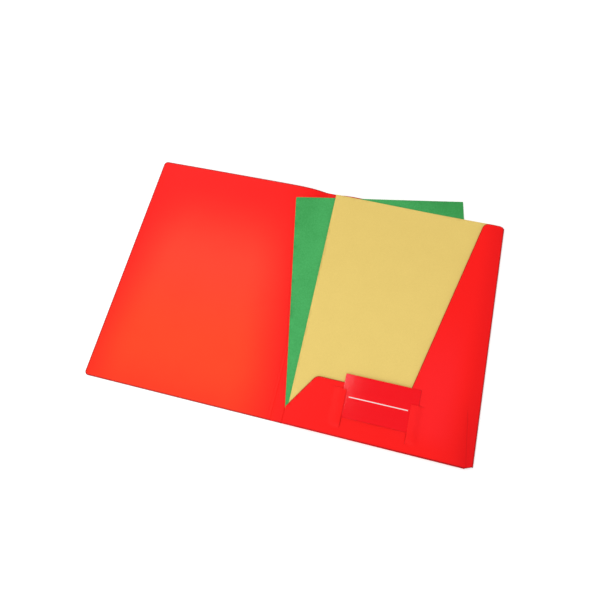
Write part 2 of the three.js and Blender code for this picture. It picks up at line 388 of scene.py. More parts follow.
# %% Creased sheets
SEAM = -SPINE + 2.0
SCORE = -SPINE - 3.5
CREASE_DEPTH, SCORE_DEPTH = 0.2, 0.07
GROOVE_WIDTH, RIDGE_PLACE, RIDGE_WIDTH, RIDGE_SHARE = 0.42, 1.1, 0.4, 0.35
OUTSIDE_WIDTH, OUTSIDE_SHARE = 0.5, 0.4
COVER_RIM = 1.7
CREASE_COLUMNS = np.array([-1.8, -1.3, -0.9, -0.6, -0.4, -0.2, 0.0, 0.2, 0.4, 0.6, 0.9, 1.3, 1.8])


def crease_mark(distance, share, depth):
    """The groove of a crease. share is 1 on the inside of the folder and 0 on its outside."""
    groove = -depth * np.exp(-((distance / GROOVE_WIDTH) ** 2))
    ridge = RIDGE_SHARE * depth * np.exp(-(((abs(distance) - RIDGE_PLACE) / RIDGE_WIDTH) ** 2))
    outside = OUTSIDE_SHARE * depth * np.exp(-((distance / OUTSIDE_WIDTH) ** 2))
    return share * (groove + ridge) + (1 - share) * outside


def on_cover(x, y, t):
    """A point of the covers or the spine."""
    share = t / PLASTIC
    marks = crease_mark(x, share, CREASE_DEPTH) + crease_mark(x + SPINE, share, CREASE_DEPTH)
    marks = marks + crease_mark(x - SCORE, share, SCORE_DEPTH)
    return x, y, t + cover_lift(x, y) + marks


def at_seam(x, y):
    return abs(x - SEAM) < CLOSE


front_loop = loops_of("front_cover")[0]
front_loop = np.where((front_loop > -SPINE - 1) & (np.arange(2) == 0), SEAM, front_loop)
front_columns = np.concatenate([CREASE_COLUMNS - SPINE, CREASE_COLUMNS[2:-2] + SCORE])
front_cover = cut_sheet(
    "front_cover_sheet", [front_loop], on_cover, PLASTIC, 5.0, front_columns, seam=at_seam, rim_width=COVER_RIM
)
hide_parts("front_cover")

# %% [markdown]
# ## The folds of the pocket
# The sheet turns over by half a circle at the right edge and at the lower edge. A fold like that is easiest
# to draw flat. The outline simply runs on past the fold line, and the placing function wraps everything
# beyond that line round a half circle. The wall then keeps its thickness all the way round.

# %% Folds
side_radius = height_of("side_fold")[1] / 2
bottom_radius = height_of("bottom_fold")[1] / 2
SIDE_LINE = BACK_WIDTH - side_radius
BOTTOM_LINE = bottom_radius
FOLD_LOW = to_folder(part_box("side_fold")[0])[1]
FOLD_HIGH = to_folder(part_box("side_fold")[1])[1]
FOLD_LEFT = to_folder(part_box("bottom_fold")[0])[0]
FOLD_RIGHT = to_folder(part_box("bottom_fold")[1])[0]
FOLD_STEPS = 10


def wrap(past, t, radius):
    """A point `past` mm beyond the fold line, from the upper layer down: its reach outwards, and its z."""
    middle = radius - PLASTIC / 2
    angle = np.clip(past / middle, 0, math.pi)
    arm = middle + t - PLASTIC / 2
    return arm * np.sin(angle), radius + arm * np.cos(angle)


def fold_length(radius):
    return math.pi * (radius - PLASTIC / 2)


back_loop = np.array([
    [SEAM, 0], [FOLD_LEFT, 0], [FOLD_LEFT, BOTTOM_LINE], [FOLD_RIGHT, BOTTOM_LINE], [SIDE_LINE, FOLD_LOW],
    [SIDE_LINE, FOLD_HIGH], [FOLD_RIGHT, HEIGHT], [SEAM, HEIGHT],
])


def at_join(x, y):
    """Where the back cover runs on into the other half of the sheet or into a fold."""
    into_side = (abs(x - SIDE_LINE) < CLOSE) & (y > FOLD_LOW - CLOSE) & (y < FOLD_HIGH + CLOSE)
    into_bottom = (abs(y - BOTTOM_LINE) < CLOSE) & (x > FOLD_LEFT - CLOSE) & (x < FOLD_RIGHT + CLOSE)
    return at_seam(x, y) | into_side | into_bottom


back_cover = cut_sheet(
    "back_cover_sheet", [back_loop], on_cover, PLASTIC, 6.0, CREASE_COLUMNS, seam=at_join, rim_width=COVER_RIM
)
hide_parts("back_cover", "spine_strip")

# %% [markdown]
# ## The bottom tab
# Under the pocket's front lies the tab that was folded up from the lower edge. Only its slanting right end
# shows, as a fine line through the front, but from the side the fold is plain to see.

# %% Bottom tab and fold
tab_base = height_of("bottom_tab")[0]


def on_tab(x, y, t):
    """A point of the tab or of the fold below it."""
    past = np.clip(BOTTOM_LINE - y, 0, None)
    reach, z = wrap(past, t, bottom_radius)
    flat = past == 0
    lift = cover_lift(x, y)
    return x, np.where(flat, y, BOTTOM_LINE - reach), np.where(flat, tab_base + t, z) + lift


tab_loop = loops_of("bottom_tab")[0]
lowest = tab_loop[:, 1].min()
low_right = int(np.argmax((tab_loop[:, 1] < lowest + CLOSE) & (tab_loop[:, 0] > BACK_WIDTH / 2)))
fold_foot = BOTTOM_LINE - fold_length(bottom_radius)
tab_outline = [[FOLD_LEFT, fold_foot], [FOLD_RIGHT, fold_foot], [FOLD_RIGHT, BOTTOM_LINE]]
tab_outline += [list(p) for p in np.roll(tab_loop, -low_right, 0) if p[1] > lowest + CLOSE]
tab_outline += [[tab_loop[:, 0].min(), BOTTOM_LINE], [FOLD_LEFT, BOTTOM_LINE]]
tab_rows = BOTTOM_LINE - np.linspace(0, fold_length(bottom_radius), FOLD_STEPS + 1)[:-1]


def at_tab_join(x, y):
    return abs(y - fold_foot) < CLOSE


bottom_tab = cut_sheet(
    "bottom_tab_sheet", [tab_outline], on_tab, PLASTIC, 8.0, rows=tab_rows, seam=at_tab_join, rim_width=0.4
)
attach(bottom_tab, "back")
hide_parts("bottom_tab", "bottom_fold")

# %% [markdown]
# ## The pocket's front
# One L-shaped flap comes over from the right edge. Its low arm carries two slits for the card, each with a
# cut outwards at its top, so that a tongue of plastic lifts over the card's end. The slits are narrow
# holes in the outline. The tongue is a rise in the surface: it stays flat along its outer side and at its
# foot, where it isn't cut, and stands highest along the slit.
#
# The welded tab below stops short of the right edge. Beyond its slanting end the front sinks a little,
# which shows as a fine upright line near the corner. The red material paints a little shade along that line.

# %% Heights of the pocket's front
front_base = height_of("pocket_front")[0]
tongue_rise = height_of("card_tongue_right")[1] - height_of("pocket_front")[1]
SLIT = 0.15
TONGUE_FOOT, TONGUE_FLAT, TONGUE_SIDE = 11.0, 1.5, 7.0
tab_right = tab_loop[tab_loop[:, 0] > BACK_WIDTH / 2]
TAB_END = np.array([tab_right[np.argmin(tab_right[:, 1])], tab_right[np.argmax(tab_right[:, 1])]])
TAB_END += [[0.8, 0], [0.3, 6]]  # the front sinks a little past the tab's own end
TAB_STEP = 0.5
SPRING = 0.25


def tongue_boxes():
    """For each tongue: the side its slit is on, the slit's x, the outer x, and its lowest and highest y."""
    pairs = []
    for loop in loops_of("pocket_front")[1:]:
        (left, low), (right, high) = loop.min(0), loop.max(0)
        middle = np.mean([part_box("business_card")[i].x for i in (0, 1)])
        inner_right = to_folder([middle, 0, 0])[0] > right
        pairs.append((-1, right, left, low, high) if inner_right else (1, left, right, low, high))
    return sorted(pairs)


TONGUES = tongue_boxes()
SLIT_LOW, SLIT_HIGH = TONGUES[0][3:]


def eased(share):
    """From 0 to 1, steep at first, as a lifted tongue leaves the sheet."""
    return 1 - (1 - np.clip(share, 0, 1)) ** 3


def ramp(value, low, high):
    """0 below `low`, 1 above `high`, smooth between. Works downwards too."""
    share = np.clip((value - low) / (high - low), 0, 1)
    return share * share * (3 - 2 * share)


def tongue_lift(x, y):
    """How far the tongues stand above the flap."""
    lift = 0 * x
    for side, slit, outer, low, high in TONGUES:
        inwards = (outer - x) * side
        on_tongue = ((x - slit) * side > SLIT / 2) & (inwards > 0) & (y > low) & (y < high - SLIT / 2)
        rise = ramp(inwards, TONGUE_FLAT, TONGUE_FLAT + TONGUE_SIDE) * eased((y - low) / TONGUE_FOOT)
        lift = lift + np.where(on_tongue, tongue_rise * rise, 0)
    return lift


def tab_sink(x, y):
    """How far the front sinks beyond the end of the tab, and comes up again at the fold."""
    (x0, y0), (x1, y1) = TAB_END
    line = x0 + (x1 - x0) * (y - y0) / (y1 - y0)
    return TAB_STEP * ramp(y, 82, 42) * ramp(x, line - 0.5, line + 0.9) * ramp(x, 217, 211)


def spring(x, y):
    """How far the front springs away from the sheets, between its fold and its free edges."""
    return SPRING * (ramp(x, SIDE_LINE, SIDE_LINE - 40) * ramp(y, 0, 30) * ramp(x, 0, 25) - ramp(x, 12, 0))


def on_pocket(x, y, t):
    """A point of the pocket's front or of the side fold."""
    past = np.clip(x - SIDE_LINE, 0, None)
    reach, z = wrap(past, t, side_radius)
    flat = past == 0
    z = np.where(flat, front_base + t + spring(x, y) + tongue_lift(x, y) - tab_sink(x, y), z)
    return np.where(flat, x, SIDE_LINE + reach), y, z + cover_lift(x, y)


print("tongues, as side, slit, outer side, low and high:", [[round(float(v), 1) for v in t] for t in TONGUES])

# %% [markdown]
# ## The outline of the pocket's front
# The outline comes from the CAD and runs on past the fold line at the right, for the fold. The tip of the
# arm is rounded where its top edge comes down to the fold, and the left end reaches the crease.
#
# Extra columns of points go where the fold and the tongues bend, and extra rows at the tongues' feet.


# %% Pocket front
def slit_loop(side, slit, outer, low, high):
    """The narrow L-shaped cut round a tongue, clockwise."""
    a, b = slit + side * SLIT, high - SLIT
    loop = np.array([[slit, low], [slit, high], [outer, high], [outer, b], [a, b], [a, low]])
    return loop if side > 0 else loop[::-1]


pocket_loop = loops_of("pocket_front")[0]
pocket_loop[pocket_loop[:, 0] < 1, 0] = 0
right_edge = pocket_loop[:, 0].max()
fold_end = SIDE_LINE + fold_length(side_radius)
pocket_outline = []
for point in np.roll(pocket_loop, -int(np.argmin(pocket_loop.sum(1))), 0):
    if point[0] < right_edge - CLOSE:
        pocket_outline.append(list(point))
    elif point[1] < HEIGHT / 2:
        pocket_outline += [[SIDE_LINE, FOLD_LOW], [fold_end, FOLD_LOW]]
    else:
        pocket_outline += [[fold_end, FOLD_HIGH], [SIDE_LINE, FOLD_HIGH]]
tip = pocket_outline.index([SIDE_LINE, FOLD_HIGH])
tip_x, tip_y = pocket_outline[tip + 1]
pocket_outline[tip + 1 : tip + 1] = [
    [tip_x + (SIDE_LINE - tip_x) * math.sin(turn), FOLD_HIGH + (tip_y - FOLD_HIGH) * math.cos(turn)]
    for turn in np.radians([70, 52, 36, 22, 10])
]
print("the arm's tip is rounded over", round(SIDE_LINE - tip_x, 2), "by", round(tip_y - FOLD_HIGH, 2), "mm")
pocket_columns = list(np.linspace(SIDE_LINE, fold_end, FOLD_STEPS + 1)[:-1])
for side, slit, *_ in TONGUES:
    pocket_columns += [slit + side * step for step in (1.5, 4, 7, 10, 13, 15.4)]
pocket_rows = [SLIT_LOW + step for step in (0.3, 1.2, 2.5, 4.0, 6.0, 8.5)]


def at_pocket_join(x, y):
    return abs(x - fold_end) < CLOSE


def pocket_marks(x, y):
    """The slits and the end beside the spine lie close to what is under them, so their edges get almost no
    painted shade.
    """
    at_slits = (x > TONGUES[0][2] - 1) & (x < TONGUES[1][2] + 1) & (y > SLIT_LOW - 1) & (y < SLIT_HIGH + 1)
    return np.where(at_slits | (x < 1), 0.04, 1.0)


pocket_front = cut_sheet(
    "pocket_front_sheet",
    [pocket_outline] + [slit_loop(*tongue) for tongue in TONGUES],
    on_pocket,
    PLASTIC,
    4.5,
    pocket_columns,
    pocket_rows,
    seam=at_pocket_join,
    marks=pocket_marks,
    rim_width=1.1,
)
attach(pocket_front, "back")
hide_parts("pocket_front", "side_fold", "card_tongue_left", "card_tongue_right")

# %% [markdown]
# ## The divider and the paper
# Both are flat sheets that follow the swell of the covers. The divider is wider than the pocket, so it
# leans to the left and reaches over the spine. It isn't cut quite square and is a little wider at its top.
#
# The paper lies on the divider and leans less. It stands off the divider by a millimetre or so at its free
# upper left, and its corner curls up a little more, so the two never cut through each other.

# %% Loose sheets
divider_base, divider_top = height_of("divider_sheet")
paper_base, paper_top = height_of("paper_sheet")
paper_loop = loops_of("paper_sheet")[0]
paper_corner = paper_loop[np.argmin(paper_loop.sum(1))]
PAPER_LEAN = math.radians(0.45)
PAPER_LEFT, PAPER_DROP = 0.9, 1.2
PAPER_CURL, PAPER_LOFT = 1.0, 1.25
divider_loop = loops_of("divider_sheet")[0]
divider_corner = divider_loop[np.argmin(divider_loop[:, 1] + divider_loop[:, 0] * 0.01)]
divider_far = divider_loop[np.argmin(divider_loop @ [-1, 0.3])]
divider_width = float(np.hypot(*(divider_far - divider_corner)))
divider_side = (divider_far - divider_corner) / divider_width
divider_length = float(((divider_loop - divider_corner) @ [-divider_side[1], divider_side[0]]).max())
DIVIDER_WIDER = 2.0
DIVIDER_FLARE = DIVIDER_WIDER / (divider_width * divider_length)


def wider_above(x, y):
    """The divider's points moved to its right, more so further up: it isn't cut quite square."""
    along, up = x - divider_corner[0], y - divider_corner[1]
    across = along * divider_side[0] + up * divider_side[1]
    higher = up * divider_side[0] - along * divider_side[1]
    shift = DIVIDER_FLARE * across * higher
    return x + divider_side[0] * shift, y + divider_side[1] * shift


def leaning(x, y):
    """The paper's points turned to the left about its lower left corner, by PAPER_LEAN more than in the CAD."""
    along, up = x - paper_corner[0], y - paper_corner[1]
    cos, sin = math.cos(PAPER_LEAN), math.sin(PAPER_LEAN)
    return paper_corner[0] + along * cos - up * sin, paper_corner[1] + along * sin + up * cos


def on_divider(x, y, t):
    x, y = wider_above(x, y)
    return x, y, divider_base + t + sheet_lift(x, y)


def on_paper(x, y, t):
    curl = PAPER_CURL * ramp(y, 190, 300) * ramp(x, 90, 0)
    curl = curl + PAPER_LOFT * ramp(x, 150, 60) * up_the_cover(y)
    x, y = leaning(x, y)
    return x - PAPER_LEFT, y - PAPER_DROP, paper_base + t + sheet_lift(x, y) + curl


print(f"divider {divider_width:.1f} x {divider_length:.1f} mm, and {DIVIDER_WIDER} mm wider at its top")
divider = cut_sheet("divider_card", [divider_loop], on_divider, divider_top - divider_base, 8.0)
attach(divider, "divider")
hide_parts("divider_sheet")

paper = cut_sheet("yellow_sheet", [paper_loop], on_paper, paper_top - paper_base, 8.0)
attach(paper, "paper")
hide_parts("paper_sheet")

# %% [markdown]
# ## The business card
# The card is held down at both ends and bows up a little between the slits. It is cut in its own
# millimetres, from its lower left corner, so that what is printed on it can be placed as on a real card.

# %% Business card
card_corners = loops_of("business_card")[0]
card_corner = card_corners[np.argmin(card_corners.sum(1))]
card_right = card_corners[np.argmax(card_corners @ [1, -1])]
card_width = float(np.hypot(*(card_right - card_corner)))
card_along = (card_right - card_corner) / card_width
card_top = card_corners[np.argmax(card_corners @ [-1, 1])]
card_height = float(np.hypot(*(card_top - card_corner)))
card_base, card_face = height_of("business_card")
CARD_BOW = 0.65
CARD_CLEARANCE = 0.15


def on_card(u, v, t):
    """A point of the card, from its own millimetres."""
    x = card_corner[0] + card_along[0] * u - card_along[1] * v
    y = card_corner[1] + card_along[1] * u + card_along[0] * v
    bow = CARD_BOW * (1 - (2 * u / card_width - 1) ** 2)
    z = front_base + PLASTIC + CARD_CLEARANCE + bow + t + cover_lift(x, y) + spring(x, y)
    return x, y, z


card_loop = np.array([[0, 0], [card_width, 0], [card_width, card_height], [0, card_height]])
card = cut_sheet("business_card_print", [card_loop], on_card, card_face - card_base, 3.0, rim_width=0.5)
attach(card, "card")
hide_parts("business_card")
print(f"card {card_width:.1f} x {card_height:.1f} mm")

# %% [markdown]
# ## Before the joints
# In the model the two halves of the creased sheet bend where their crease is, over a millimetre and a half.
# Here the covers get their places baked into their points and the loose sheets get meshes of their own;
# the ends of each bend are worked out, but nothing uses them. As the folder closes, the divider and the
# paper give way sideways in the model, the paper by 2 percent. Real card would bend and slide out of the way
# instead.

# %% Baked covers and meshes of their own
BEND = 0.75


def across(x):
    """A point on the crease lines' height, for the start or end of a bend."""
    return tuple(to_row([x, HEIGHT / 2, PLASTIC]))


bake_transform(back_cover)
across(-SPINE + BEND)
across(-SPINE - BEND)
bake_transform(front_cover)
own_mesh(divider)
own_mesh(paper)
print(f"two bends of {2 * BEND} mm, {SPINE:.1f} mm apart")

# %% [markdown]
# ## Writing materials as sums
# A material is a small calculation that runs at every point. Drawn as nodes it is hard to read, so a class
# wraps a socket and gives it the signs of arithmetic: `1 - mask` adds a Math node. Everything else goes
# through one method that makes a node from its type, its settings and its sockets.


# %% Sockets and nodes
class Socket:
    """An output of a shader node, which can be added, multiplied and so on."""

    def __init__(self, sheet, output):
        self.sheet, self.output = sheet, output

    def maths(self, operation, *values):
        return self.sheet.node("ShaderNodeMath", {"operation": operation}, dict(enumerate(values)))

    def __add__(self, other):
        return self.maths("ADD", self, other)

    def __sub__(self, other):
        return self.maths("SUBTRACT", self, other)

    def __rsub__(self, other):
        return self.maths("SUBTRACT", other, self)

    def __mul__(self, other):
        return self.maths("MULTIPLY", self, other)

    __radd__ = __add__
    __rmul__ = __mul__

    def or_also(self, other):
        """The larger of two sockets: 1 where either is 1."""
        return self.maths("MAXIMUM", self, other)

    def part(self, name):
        """Another output of the same node."""
        return Socket(self.sheet, self.output.node.outputs[name])


print("a socket knows", [name for name, value in vars(Socket).items() if callable(value)])

# %% [markdown]
# ## A sheet to put nodes on
# Each material and the world own a node tree. This class holds one, and has a method for each kind of thing
# that the materials here ask for again and again: the place on the flat sheet, the nearness to a cut edge,
# noise of a given size in millimetres, a soft ramp, a blend of two colours and a bump.


# %% Node sheets
class NodeSheet:
    """The node tree of a material or of the world."""

    def __init__(self, owner):
        owner.use_nodes = True
        self.owner, self.tree = owner, owner.node_tree
        self.tree.nodes.clear()

    @staticmethod
    def pick(sockets, key):
        if isinstance(key, int):
            return sockets[key]
        exact = [s for s in sockets if s.identifier == key]
        return exact[0] if exact else sockets[key]

    def node(self, kind, settings=None, sockets=None, out=0):
        """A new node: its settings first, then the values or links of its sockets. Gives one output."""
        made = self.tree.nodes.new(kind)
        for name, value in (settings or {}).items():
            setattr(made, name, value)
        for key, value in (sockets or {}).items():
            target = self.pick(made.inputs, key)
            if isinstance(value, Socket):
                self.tree.links.new(value.output, target)
            else:
                target.default_value = value
        return Socket(self, self.pick(made.outputs, out)) if made.outputs else made

    def flat(self):
        """The place on the unfolded sheet, in metres."""
        return self.node("ShaderNodeAttribute", {"attribute_name": "flat"}, out="Vector")

    def rim(self):
        """1 at a cut edge, 0 away from it."""
        return self.node("ShaderNodeAttribute", {"attribute_name": "rim"}, out="Fac")

    def noise(self, size, detail=2.0, stretch=None, roughness=0.5):
        """Soft noise from 0 to 1, with spots about `size` millimetres across."""
        place = self.flat()
        if stretch:
            place = self.node("ShaderNodeVectorMath", {"operation": "MULTIPLY"}, {0: place, 1: stretch})
        settings = {"Vector": place, "Scale": 1 / (size * MM), "Detail": detail, "Roughness": roughness}
        return self.node("ShaderNodeTexNoise", {"noise_dimensions": "3D"}, settings, out=0)

    def ramp(self, value, low, high):
        """0 below `low`, 1 above `high`, smooth between. Works downwards too."""
        return self.node(
            "ShaderNodeMapRange",
            {"interpolation_type": "SMOOTHSTEP", "clamp": True},
            {"Value": value, "From Min": low, "From Max": high, "To Min": 0.0, "To Max": 1.0},
        )

    def blend(self, a, b, share):
        """From colour a to colour b."""
        settings = {"data_type": "RGBA", "clamp_factor": True}
        sockets = {"Factor_Float": share, "A_Color": a, "B_Color": b}
        return self.node("ShaderNodeMix", settings, sockets, out="Result_Color")

    def bump(self, height, depth, below=None):
        """A normal from a height of 0 to 1 that stands for `depth` millimetres."""
        sockets = {"Height": height, "Distance": depth * MM, "Strength": 1.0}
        if below is not None:
            sockets["Normal"] = below
        return self.node("ShaderNodeBump", {}, sockets)

    def surface(self, shader):
        self.node("ShaderNodeOutputMaterial", {}, {"Surface": shader})
        return self.owner


def new_sheet(name):
    return NodeSheet(bpy.data.materials.new(name))


def dress(piece, material):
    piece.data.materials.clear()
    piece.data.materials.append(material)


pieces = (front_cover, back_cover, bottom_tab, pocket_front, divider, paper, card)
print("ready to dress", [piece.name for piece in pieces])

# %% [markdown]
# ## Red polypropylene
# The plastic has a satin face with a very fine grain, so its gloss is wide and soft. It lets some light
# through. Light and shade are painted into its colour: a painted sheen makes the middle of the front cover
# more orange and the middle of the pocket's arm lighter, and painted shade deepens the red toward the right
# edge and the lower right corner, round the folds, along the end of the tab and most of all at each cut edge.
# Handling leaves faint rubbed streaks, which show only in the gloss.
#
# The colour is built up as a chain of blends, each with its own mask. A mask is a product of soft ramps
# over the place on the flat sheet, so it stays with the plastic when the folder closes.

# %% Masks of the red
red = new_sheet("red_polypropylene")
place = red.node("ShaderNodeSeparateXYZ", {}, {0: red.flat()})
x, y = place.part("X"), place.part("Y")

# Painted sheen: the middle of the front cover is made lighter and more orange, as under the softbox's glow.
clear_of_spine = red.ramp(x + y * 0.12, 0.005, -0.075)
clear_of_left = red.ramp(x - y * 0.12, -0.285, -0.205)
clear_of_top = red.ramp(y, 0.290, 0.170)
clear_of_foot = red.ramp(y, -0.100, 0.060)
painted_cover_sheen = clear_of_spine * clear_of_left * clear_of_top * clear_of_foot
# Painted sheen: the middle of the pocket's arm is made a little lighter and rosier.
painted_arm_sheen = red.ramp(x, 0.110, 0.160) * red.ramp(x, 0.205, 0.175)
painted_arm_sheen = painted_arm_sheen * red.ramp(y, 0.002, 0.040) * red.ramp(y, 0.200, 0.080)

# Painted shade: the red is made deeper toward the right edge and the lower right corner, where less light
# falls.
shade_to_corner = red.ramp(x, 0.160, 0.216) * red.ramp(y, 0.110, 0.0)
shade_to_right_edge = red.ramp(x, 0.190, 0.217)
side_line = SIDE_LINE * MM
# Painted shade round the outside of the side fold and of the bottom fold.
side_fold_shade = red.ramp(x, side_line - 0.0006, side_line + 0.0008)
bottom_fold_shade = red.ramp(y, 0.0026, 0.0006) * (0.25 + red.ramp(x, 0.06, 0.18) * 0.5)

# Painted shade along the slanting end of the tab, where the front sinks.
(tab_x, tab_y), (tab_high_x, tab_high_y) = TAB_END * MM
past_tab = x - (y - tab_y) * ((tab_high_x - tab_x) / (tab_high_y - tab_y)) - tab_x
tab_line_shade = red.ramp(past_tab, -0.0008, 0.0) * red.ramp(past_tab, 0.0012, 0.0002)
tab_line_shade = tab_line_shade * red.ramp(y, tab_high_y, tab_high_y - 0.008)

cloud = red.noise(38, 3.0)
mottle = red.noise(1.6, 3.0)
print("masks of the red:", len(red.tree.nodes), "nodes so far")

# %% [markdown]
# ## The red's colours and gloss
# The colours are linear values, in which the dark parts of a strong red are only a few thousandths. Each
# blend lays the next colour over the last. The order matters: the painted shade of the cut edges comes last,
# so that nothing covers it.

# %% Red plastic
RED, CLOUDED_RED, SHADED_RED = (0.96, 0.006, 0.005, 1), (0.86, 0.004, 0.006, 1), (0.76, 0.001, 0.003, 1)
SHEEN_ORANGE_BELOW, SHEEN_ORANGE_ABOVE, SHEEN_ROSE = (1.0, 0.055, 0.011, 1), (1.0, 0.049, 0.021, 1), (1.0, 0.020, 0.030, 1)
TAB_SHADE, FOLD_SHADE, CUT_SHADE = (0.62, 0.002, 0.003, 1), (0.40, 0.002, 0.003, 1), (0.24, 0.002, 0.003, 1)
GRAIN_SIZE = 0.45

# The orange of the painted sheen on the front cover, a little different low and high on the cover.
glow_colour = red.blend(SHEEN_ORANGE_BELOW, SHEEN_ORANGE_ABOVE, red.ramp(y, 0.06, 0.20))
base = red.blend(RED, glow_colour, painted_cover_sheen * 0.95)
base = red.blend(base, SHEEN_ROSE, painted_arm_sheen * 0.35)
base = red.blend(base, CLOUDED_RED, (cloud - 0.5) * 0.25 + (mottle - 0.5) * 0.12)
base = red.blend(base, SHADED_RED, shade_to_right_edge * 0.5 + shade_to_corner * 0.5)
base = red.blend(base, TAB_SHADE, tab_line_shade * 0.5)
base = red.blend(base, FOLD_SHADE, (side_fold_shade + bottom_fold_shade) * 0.95)
# Painted shade along every cut edge.
base = red.blend(base, CUT_SHADE, red.rim() * 0.9)

cells = {"Vector": red.flat(), "Scale": 1 / (GRAIN_SIZE * MM)}
grain = red.node("ShaderNodeTexVoronoi", {"feature": "F1"}, cells, out="Distance")
streaks = red.ramp(red.noise(9, 4.0, stretch=(0.12, 1.0, 1.0), roughness=0.65), 0.60, 0.74)
roughness = 0.42 + (cloud - 0.5) * 0.08 + streaks * 0.07 + (mottle - 0.5) * 0.05
undulation = red.bump(red.noise(55, 1.0), 0.10)
normal = red.bump(grain, 0.006, undulation)
shader = red.node(
    "ShaderNodeBsdfPrincipled",
    {},
    {"Base Color": base, "Roughness": roughness, "Normal": normal, "IOR": 1.49, "Specular IOR Level": 0.17},
)
red_plastic = red.surface(shader)
for piece in (front_cover, back_cover, bottom_tab, pocket_front):
    dress(piece, red_plastic)
print("red plastic:", len(red.tree.nodes), "nodes")

# %% [markdown]
# ## Green card and yellow paper
# Coloured paper is matt, with short fibres in it. The fibres are a little lighter and darker than the
# ground and stand up by a few hundredths of a millimetre. A cloudy unevenness runs across the whole sheet.
# One function makes both finishes, and a second mask paints shade where less light reaches the sheet.
# Painted shade also darkens the cut edges a little.


# %% Papers
def paper_finish(name, colour, deep, fibre, shift):
    """A matt paper: its colour, a deeper tone, its fibres in mm, and a mask of painted shade that adds to the
    deeper tone. Its cut edges get a little painted shade as well.
    """
    sheet = new_sheet(name)
    clouds = sheet.noise(26, 3.0)
    long_fibres = sheet.noise(fibre, 2.0, stretch=(1.0, 0.35, 1.0), roughness=0.6)
    cross_fibres = sheet.noise(fibre, 2.0, stretch=(0.35, 1.0, 1.0), roughness=0.6)
    fibres = long_fibres + cross_fibres - 1
    share = 0.35 + (clouds - 0.5) * 0.5 + fibres * 0.9 + sheet.rim() * 0.25 + shift(sheet)
    sockets = {
        "Base Color": sheet.blend(colour, deep, share),
        "Roughness": 0.84 + fibres * 0.1,
        "Normal": sheet.bump(long_fibres + cross_fibres, 0.02),
        "Specular IOR Level": 0.25,
    }
    return sheet.surface(sheet.node("ShaderNodeBsdfPrincipled", {}, sockets))


def painted_shade_at_top(sheet):
    """Painted shade: the far end of the paper is made a little deeper in tone, as less light reaches it."""
    spot = sheet.node("ShaderNodeSeparateXYZ", {}, {0: sheet.flat()})
    return sheet.ramp(spot.part("Y"), 0.10, 0.30) * 0.45


def painted_shade_at_corners(sheet):
    """Painted shade at the free corners of the divider, beyond the folder, which have lost the light that comes
    back from below.
    """
    spot = sheet.node("ShaderNodeSeparateXYZ", {}, {0: sheet.flat()})
    at_right = sheet.ramp(spot.part("X"), 0.02, 0.17) * sheet.ramp(spot.part("Y"), 0.26, 0.33) * 0.7
    at_left = sheet.ramp(spot.part("X"), 0.0, -0.04) * sheet.ramp(spot.part("Y"), 0.17, 0.30) * 0.3
    return at_right + at_left


GREEN, DEEP_GREEN = (0.070, 0.445, 0.128, 1), (0.035, 0.30, 0.070, 1)
YELLOW, DEEP_YELLOW = (0.81, 0.61, 0.178, 1), (0.74, 0.545, 0.150, 1)
green = paper_finish("green_divider_card", GREEN, DEEP_GREEN, 0.9, painted_shade_at_corners)
yellow = paper_finish("yellow_paper", YELLOW, DEEP_YELLOW, 0.7, painted_shade_at_top)
dress(divider, green)
dress(paper, yellow)
print("papers:", green.name, "and", yellow.name)

# %% [markdown]
# ## The printed card
# The card has a smooth, glossy crimson print with one thin white rule across it. The rule is drawn in the
# material from the card's own millimetres, with soft edges a quarter of a millimetre wide. Painted shade
# darkens the card's cut edges, most of all at its right end.

# %% Card print
print_sheet = new_sheet("glossy_crimson_card")
spot = print_sheet.node("ShaderNodeSeparateXYZ", {}, {0: print_sheet.flat()})
u, v = spot.part("X"), spot.part("Y")
RULE_LEFT, RULE_RIGHT, RULE_MIDDLE, RULE_HALF = 8.0, 77.3, 24.4, 0.55
CRIMSON, DARK_CRIMSON = (0.94, 0.007, 0.013, 1), (0.80, 0.005, 0.012, 1)
CARD_EDGE_SHADE, RULE_WHITE = (0.45, 0.01, 0.015, 1), (0.90, 0.80, 0.80, 1)
soft = 0.12 * MM


def between(value, low, high):
    low, high = low * MM, high * MM
    return print_sheet.ramp(value, low - soft, low + soft) * print_sheet.ramp(value, high + soft, high - soft)


rule = between(u, RULE_LEFT, RULE_RIGHT) * between(v, RULE_MIDDLE - RULE_HALF, RULE_MIDDLE + RULE_HALF)
ink = print_sheet.noise(0.5, 2.0)
crimson = print_sheet.blend(CRIMSON, DARK_CRIMSON, (ink - 0.5) * 0.5 + 0.2)
# Painted shade along the card's cut edges, strongest at its right end, where its shadow falls.
edge = print_sheet.rim() * (0.25 + print_sheet.ramp(u, 0.084, 0.088) * 0.6)
crimson = print_sheet.blend(crimson, CARD_EDGE_SHADE, edge)
crimson = print_sheet.blend(crimson, RULE_WHITE, rule * 0.95)
gloss = 0.14 + (print_sheet.noise(14, 3.0) - 0.5) * 0.05
sockets = {
    "Base Color": crimson,
    "Roughness": gloss,
    "Normal": print_sheet.bump(print_sheet.noise(20, 2.0), 0.02),
    "Specular IOR Level": 0.5,
}
dress(card, print_sheet.surface(print_sheet.node("ShaderNodeBsdfPrincipled", {}, sockets)))
print(f"rule on the card: {RULE_RIGHT - RULE_LEFT:.1f} x {2 * RULE_HALF:.1f} mm")

# %% [markdown]
# ## Floor and world
# The folder lies on a plain white table. A white table in a photograph is brighter than its paint, so it
# adds a glow of its own, more further out, but only for the rays of the camera and of gloss. It still takes
# the shadows, and it throws no extra light on the folder.
#
# The world is white to the camera and lights the folder evenly at a lower level. In a gloss it is white at
# the horizon and nearly dark overhead, as the ceiling of a studio is. Satin plastic then keeps its deep red
# instead of a milky veil.

